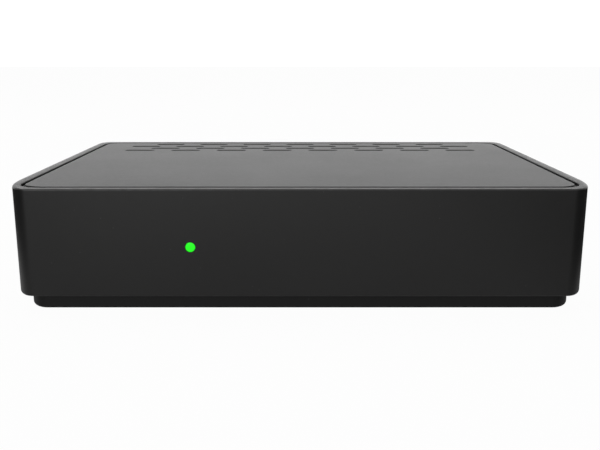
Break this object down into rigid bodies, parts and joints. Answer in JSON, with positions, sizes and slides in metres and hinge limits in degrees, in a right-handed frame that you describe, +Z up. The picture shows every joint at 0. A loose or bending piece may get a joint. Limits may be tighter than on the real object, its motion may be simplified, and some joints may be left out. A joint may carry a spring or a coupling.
{
  "type": "terrestrial tv receiver",
  "caption": "Low black set-top receiver with rounded front corners, a vented inset lid, a green status lamp, rear sockets and a rocker power switch.",
  "frame": {"origin": "on the surface that the feet stand on, under the middle of the whole part's box, aerial barrels included", "axes": "+X along the case's width, to the right as seen from the front; +Y from the front towards the rear; +Z up"},
  "size_m": [0.168, 0.12, 0.0365],
  "materials": {
    "case_plastic": "fine matt black moulding",
    "tray_plastic": "matt black moulding",
    "panel_plastic": "matt black sheet",
    "foot_rubber": "soft black rubber",
    "screw_steel": "zinc-plated steel",
    "circuit_board": "green solder mask",
    "chip_resin": "moulded black resin",
    "tinplate": "satin tinned sheet",
    "ferrite": "dark grey ferrite",
    "capacitor_sleeve": "dark shrink sleeve",
    "heatsink_aluminium": "plain extruded aluminium",
    "plated_metal": "nickel plating",
    "socket_plastic": "black moulding",
    "white_nylon": "off-white nylon",
    "green_lens": "lit green lens",
    "led_body": "milky resin",
    "receiver_lens": "dark infrared-passing resin",
    "ribbon": "grey ribbon insulation"
  },
  "bodies": {
    "receiver": {"upper_shell": "case_plastic", "top_panel": "case_plastic", "base_tray": "tray_plastic", "rear_panel": "panel_plastic", "foot_front_left": "foot_rubber", "foot_rear_left": "foot_rubber", "foot_front_right": "foot_rubber", "foot_rear_right": "foot_rubber", "case_screw_front_left": "screw_steel", "case_screw_rear_left": "screw_steel", "case_screw_front_right": "screw_steel", "case_screw_rear_right": "screw_steel", "board_screw_front_left": "screw_steel", "board_screw_rear_left": "screw_steel", "board_screw_front_right": "screw_steel", "board_screw_rear_right": "screw_steel", "main_board": "circuit_board", "front_board": "circuit_board", "main_processor": "chip_resin", "memory_chip": "chip_resin", "flash_chip": "chip_resin", "crystal": "tinplate", "inductor_1": "ferrite", "inductor_2": "ferrite", "capacitor_1": "capacitor_sleeve", "capacitor_2": "capacitor_sleeve", "capacitor_3": "capacitor_sleeve", "capacitor_4": "capacitor_sleeve", "heatsink": "heatsink_aluminium", "tuner_can": "tinplate", "tuner_cover": "tinplate", "antenna_socket": "plated_metal", "antenna_loop_plug": "plated_metal", "antenna_socket_contact": "plated_metal", "antenna_loop_pin": "plated_metal", "hdmi_socket": "tinplate", "hdmi_tongue": "socket_plastic", "usb_socket": "tinplate", "usb_tongue": "white_nylon", "scart_socket": "socket_plastic", "dc_jack": "socket_plastic", "dc_jack_pin": "plated_metal", "power_switch_housing": "socket_plastic", "switch_leg_left": "tinplate", "switch_leg_right": "tinplate", "light_pipe": "green_lens", "status_led": "led_body", "ir_receiver": "receiver_lens", "front_link_header": "white_nylon", "front_link_plug": "white_nylon", "front_link_cable": "ribbon"},
    "rocker": {"power_rocker": "socket_plastic"}
  },
  "joints": [
    {"name": "power_rocker_tilt", "type": "hinge", "parent": "receiver", "child": "rocker", "pos_m": [-0.067, 0.0504, 0.01817], "axis": [-1, 0, 0], "range_deg": [0, 20]}
  ]
}
